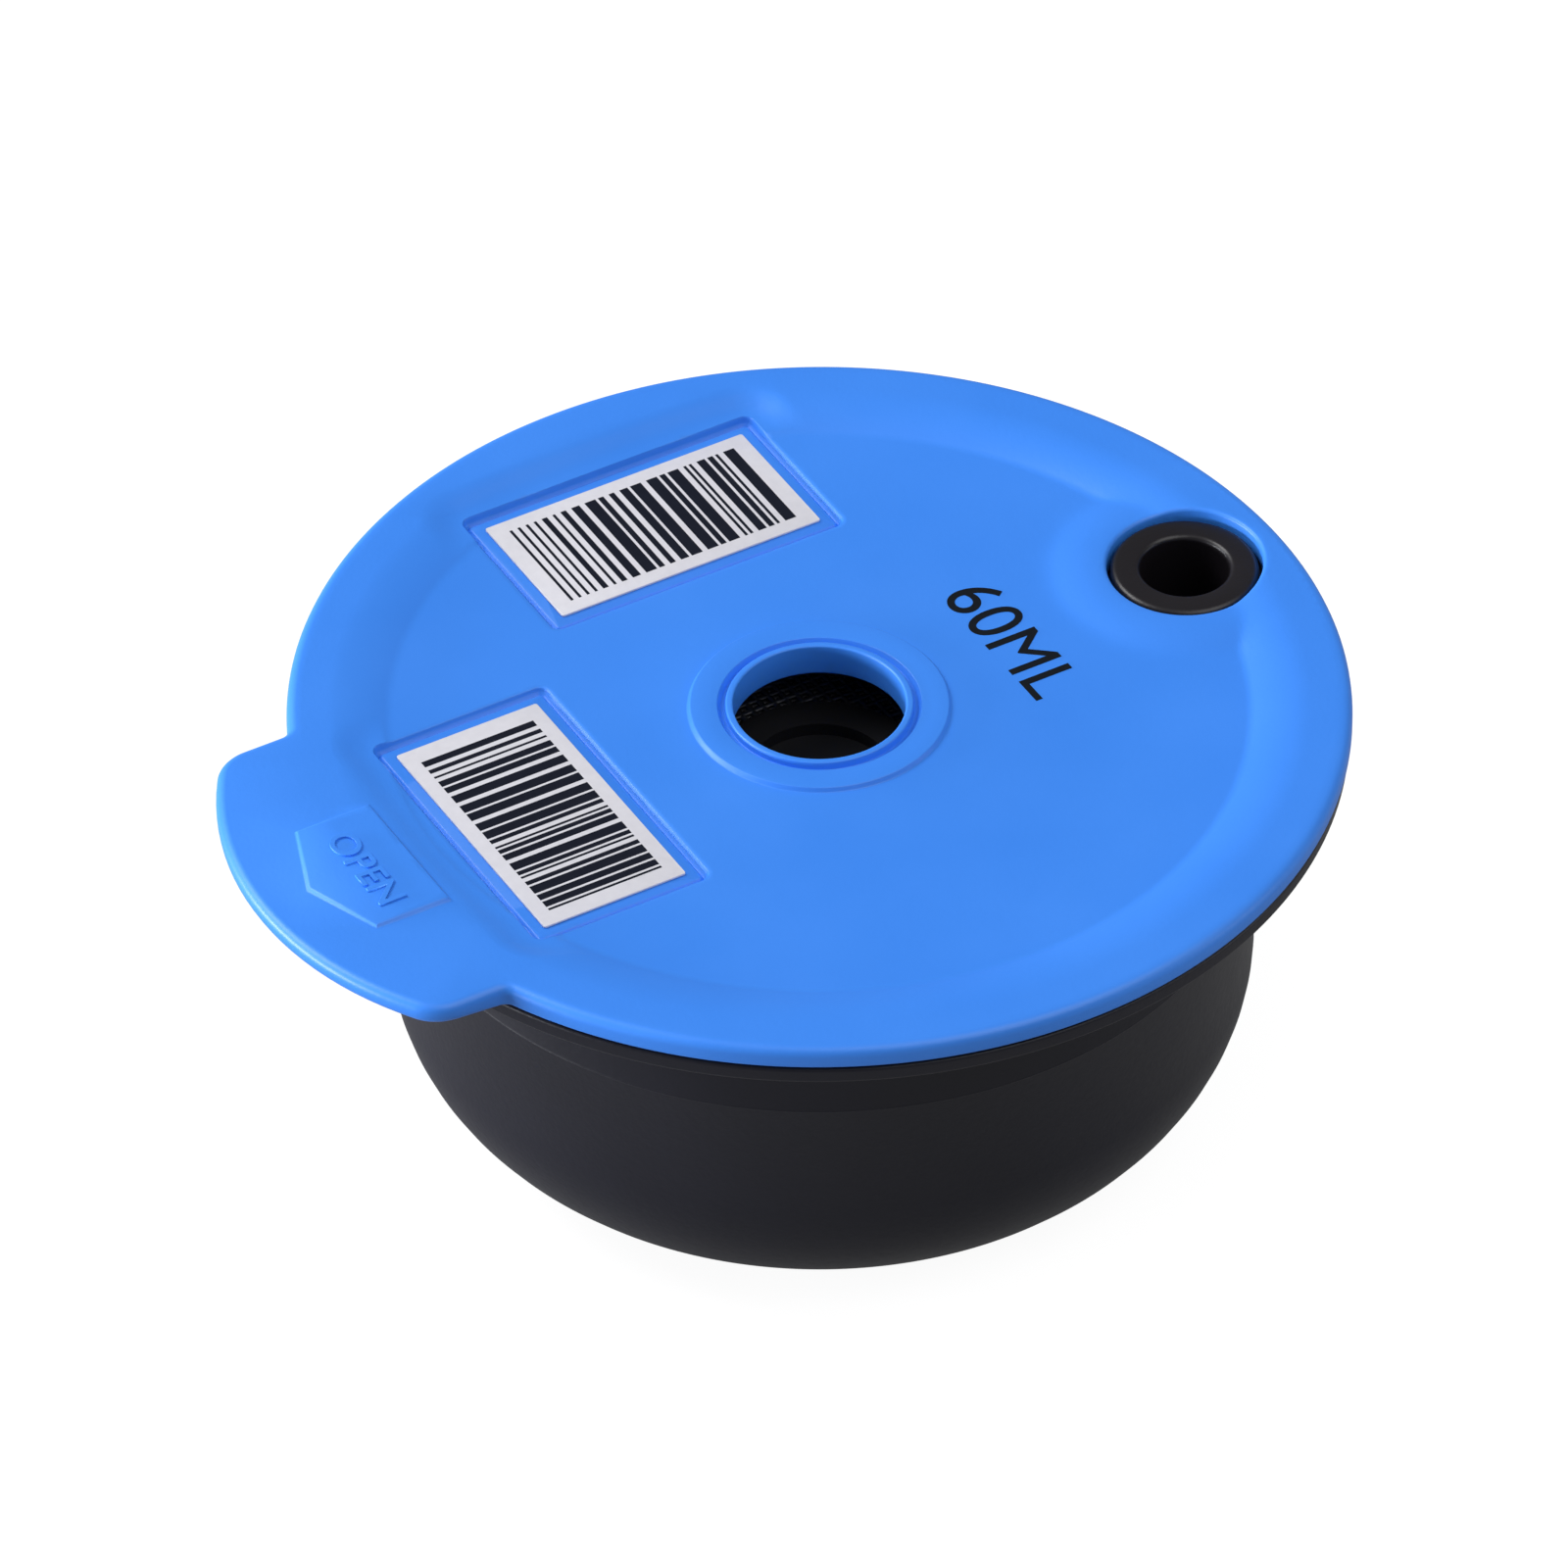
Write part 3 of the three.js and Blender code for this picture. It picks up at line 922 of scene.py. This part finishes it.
def bar_group():
    """Bars of random widths and gaps along a line, summed up and fitted to a length."""
    group = bpy.data.node_groups.new("label_bars", "GeometryNodeTree")
    group_inputs(group, [
        ("Count", "NodeSocketInt"),
        ("Length", "NodeSocketFloat"),
        ("Width", "NodeSocketFloat"),
        ("Thickness", "NodeSocketFloat"),
        ("Seed", "NodeSocketInt"),
        ("Ink", "NodeSocketMaterial"),
    ])
    tree = Tree(group)
    given = group.nodes.new("NodeGroupInput")
    take = {socket.name: Value(tree, socket) for socket in given.outputs if socket.name}
    line = tree.node("GeometryNodeMeshLine", None, {"Count": take["Count"]})

    def random_whole(low, high, seed):
        return tree.node(
            "FunctionNodeRandomValue", {"data_type": "INT"}, {4: low, 5: high, "Seed": seed}, 2,
        )

    def total(value, output):
        return tree.node("GeometryNodeAccumulateField", {"data_type": "FLOAT"}, {0: value}, output)

    solid = random_whole(1, 4, take["Seed"]) * 1.0
    gap = random_whole(1, 2, take["Seed"] + 7) * 1.0
    unit = take["Length"] / (total(solid + gap, 2) - 1.0)
    start = total(solid + gap, 1) * unit
    along = start + solid * unit * 0.5 - take["Length"] * 0.5
    place = tree.node("ShaderNodeCombineXYZ", None, {0: along})
    spread = tree.node("GeometryNodeSetPosition", None, {"Geometry": line, "Position": place})
    size = tree.node("ShaderNodeCombineXYZ", None, {0: 1.0, 1: take["Width"], 2: take["Thickness"]})
    bar = tree.node("GeometryNodeMeshCube", None, {"Size": size})
    scale = tree.node("ShaderNodeCombineXYZ", None, {0: solid * unit, 1: 1.0, 2: 1.0})
    copies = tree.node(
        "GeometryNodeInstanceOnPoints", None, {"Points": spread, "Instance": bar, "Scale": scale},
    )
    real = tree.node("GeometryNodeRealizeInstances", None, {0: copies})
    inked = tree.node("GeometryNodeSetMaterial", None, {"Geometry": real, "Material": take["Ink"]})
    tree.node("NodeGroupOutput", None, {0: inked})
    return group


def build_bars(name, group, node, seed, along_y):
    """The dark bars of one label, as a thin raised print."""
    top = box_mm(node)[1].z
    x, y, half_x, half_y = label_place(node)
    long_half, short_half = max(half_x, half_y), min(half_x, half_y)
    piece = grow(name, group, {
        "Count": BAR_COUNT,
        "Length": 2 * (long_half - BAR_END_MARGIN) * MM,
        "Width": 2 * (short_half - BAR_SIDE_MARGIN) * MM,
        "Thickness": INK_THICKNESS * MM,
        "Seed": seed,
        "Ink": bar_ink,
    })
    turn = Matrix.Rotation(math.pi / 2, 4, "Z") if along_y else Matrix.Identity(4)
    middle = Vector((x, y, top + INK_THICKNESS / 2 - INK_SUNK))
    piece.data.transform(Matrix.Translation(middle * MM) @ turn)
    return piece


def weld(pieces, name):
    """Joins finished pieces into the first one."""
    work = bmesh.new()
    target = pieces[0]
    slots = list(target.data.materials)
    for piece in pieces:
        start = len(work.faces)
        work.from_mesh(piece.data)
        work.faces.ensure_lookup_table()
        names = list(piece.data.materials)
        for face in work.faces[start:]:
            face.material_index = slots.index(names[face.material_index]) if names else 0
    work.to_mesh(target.data)
    work.free()
    for piece in pieces[1:]:
        bpy.data.objects.remove(piece)
    target.name = name
    return target


# Camera: fitted to the photograph from the rim, labels and centre ring
IMAGE = 1600
PIXELS_PER_MM = 14.507
CAMERA_DISTANCE = 985.0
AZIMUTH = -30.06
ELEVATION = 40.17
ROLL = -0.42
LID_CENTRE_PIXEL = (836.6, 711.5)
SENSOR = 36.0

# Where the lamps point, in metres, and the floor's half size and level, in millimetres
LAMP_TARGET = Vector((0, 0, 0.02))
FLOOR_HALF = 3000.0
FLOOR_LEVEL = -0.02

# How much the floor glows where the camera sees it, and in reflections
SEEN_GLOW = 0.8
MIRRORED_GLOW = 0.10


def place_camera():
    """A camera that sees the part as the photograph does."""
    azimuth, elevation = math.radians(AZIMUTH), math.radians(ELEVATION)
    back = Vector((
        math.sin(azimuth) * math.cos(elevation),
        -math.cos(azimuth) * math.cos(elevation),
        math.sin(elevation),
    ))
    right = Vector((math.cos(azimuth), math.sin(azimuth), 0))
    up = back.cross(right)
    centre = Vector((0, 0, lid_top))
    shift_right = (LID_CENTRE_PIXEL[0] - IMAGE / 2) / PIXELS_PER_MM
    shift_up = (IMAGE / 2 - LID_CENTRE_PIXEL[1]) / PIXELS_PER_MM
    eye = centre + back * CAMERA_DISTANCE
    target = centre - right * shift_right - up * shift_up
    data = bpy.data.cameras.new("camera")
    data.sensor_width = SENSOR
    data.lens = SENSOR * PIXELS_PER_MM * CAMERA_DISTANCE / IMAGE
    data.clip_start, data.clip_end = 0.05, 20
    camera = placed("camera", data)
    aim = (target - eye).to_track_quat("-Z", "Y").to_matrix().to_4x4()
    camera.matrix_world = (
        Matrix.Translation(eye * MM) @ aim @ Matrix.Rotation(math.radians(ROLL), 4, "Z")
    )
    bpy.context.scene.camera = camera


def soft_light(name, place, size, power, colour=(1, 1, 1)):
    """A lamp panel that faces the middle of the part."""
    data = bpy.data.lights.new(name, "AREA")
    data.shape = "RECTANGLE"
    data.size, data.size_y = size
    data.energy = power
    data.color = colour
    lamp = placed(name, data)
    lamp.location = place
    lamp.rotation_euler = (LAMP_TARGET - Vector(place)).to_track_quat("-Z", "Y").to_euler()


def light_scene():
    """Four lamp panels in a dim room that the camera sees as white."""
    world = bpy.data.worlds.new("studio")
    world.use_nodes = True
    world.node_tree.nodes.clear()
    tree = Tree(world.node_tree)
    seen = tree.node("ShaderNodeLightPath", output="Is Camera Ray")
    colour = tree.node(
        "ShaderNodeMix", {"data_type": "RGBA"},
        {0: seen, 6: (0.20, 0.20, 0.21, 1), 7: (1, 1, 1, 1)}, 2,
    )
    light = tree.node("ShaderNodeBackground", None, {"Color": colour, "Strength": 1.0})
    tree.node("ShaderNodeOutputWorld", None, {"Surface": light})
    bpy.context.scene.world = world
    soft_light("key", (-0.62, 0.72, 0.95), (0.7, 0.7), 12.5)
    soft_light("overhead", (0.20, -0.42, 0.82), (0.8, 0.8), 4.1)
    soft_light("left", (-0.72, 0.34, 0.065), (0.6, 0.12), 10.0, (0.92, 0.94, 1.0))
    soft_light("right", (0.70, -0.45, 0.15), (0.3, 0.3), 0.6)


def floor():
    """A plain pale floor that looks nearly white and keeps a soft shadow."""
    material, tree = material_tree("pale_floor")
    seen = tree.node("ShaderNodeLightPath", output="Is Camera Ray")
    grey = tree.node(
        "ShaderNodeMix", {"data_type": "RGBA"},
        {0: seen, 6: (0.32, 0.32, 0.32, 1), 7: (0.86, 0.86, 0.86, 1)}, 2,
    )
    paint = tree.node("ShaderNodeBsdfDiffuse", None, {"Color": grey})
    glow = tree.node("ShaderNodeEmission", None, {"Color": (1, 1, 1, 1), "Strength": 1.16})
    mirrored = tree.node("ShaderNodeLightPath", output="Is Glossy Ray")
    share = seen * SEEN_GLOW + mirrored * MIRRORED_GLOW
    mixed = tree.node("ShaderNodeMixShader", None, {0: share, 1: paint, 2: glow})
    tree.node("ShaderNodeOutputMaterial", None, {"Surface": mixed})
    signs = ((-1, -1), (1, -1), (1, 1), (-1, 1))
    corners = [(FLOOR_HALF * x, FLOOR_HALF * y, FLOOR_LEVEL) for x, y in signs]
    mesh_piece("floor", corners, [(0, 1, 2, 3)], [material])


place_camera()
light_scene()
floor()

lid = build_lid()
cut(lid, inlet_cutter(), "DIFFERENCE")
soften(lid)
lid_word = raised_word(
    "tab_word", "OPEN", centre=(tab_tip + 8.15, -0.2), length=8.1, height=2.15,
    low=lid_top + ARROW_RISE - 0.1, thickness=0.26, material=blue_plastic, bevel=0.012,
)
capacity = raised_word(
    "capacity_print", "60ML", centre=(15.5, -0.6), length=13.2, height=4.15,
    low=dish_top - 0.01, thickness=0.04, material=black_ink,
)
cup = build_cup()
bush = build_bush()
bars = bar_group()
replacements = [
    (lid, "lid", "lid_plastic"),
    (cup, "cup", "cup_plastic"),
    (bush, "inlet_bush", "bush_rubber"),
]
for label, seed, along_y in (("label_back", 11, False), ("label_front", 23, True)):
    film = build_film(label + "_film", label)
    print_bars = build_bars(label + "_bars", bars, label, seed, along_y)
    replacements.append((weld([film, print_bars], label + "_film"), label, "label_film"))

for piece, node, slot in replacements:
    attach(piece, "root")
    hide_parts(node)
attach(lid_word, "root")
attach(capacity, "root")

for node, material in (("filter_frame", black_plastic), ("filter_mesh", gauze_steel())):
    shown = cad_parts[node]
    shown.data.materials.clear()
    shown.data.materials.append(material)

bpy.context.scene.view_settings.view_transform = "Standard"
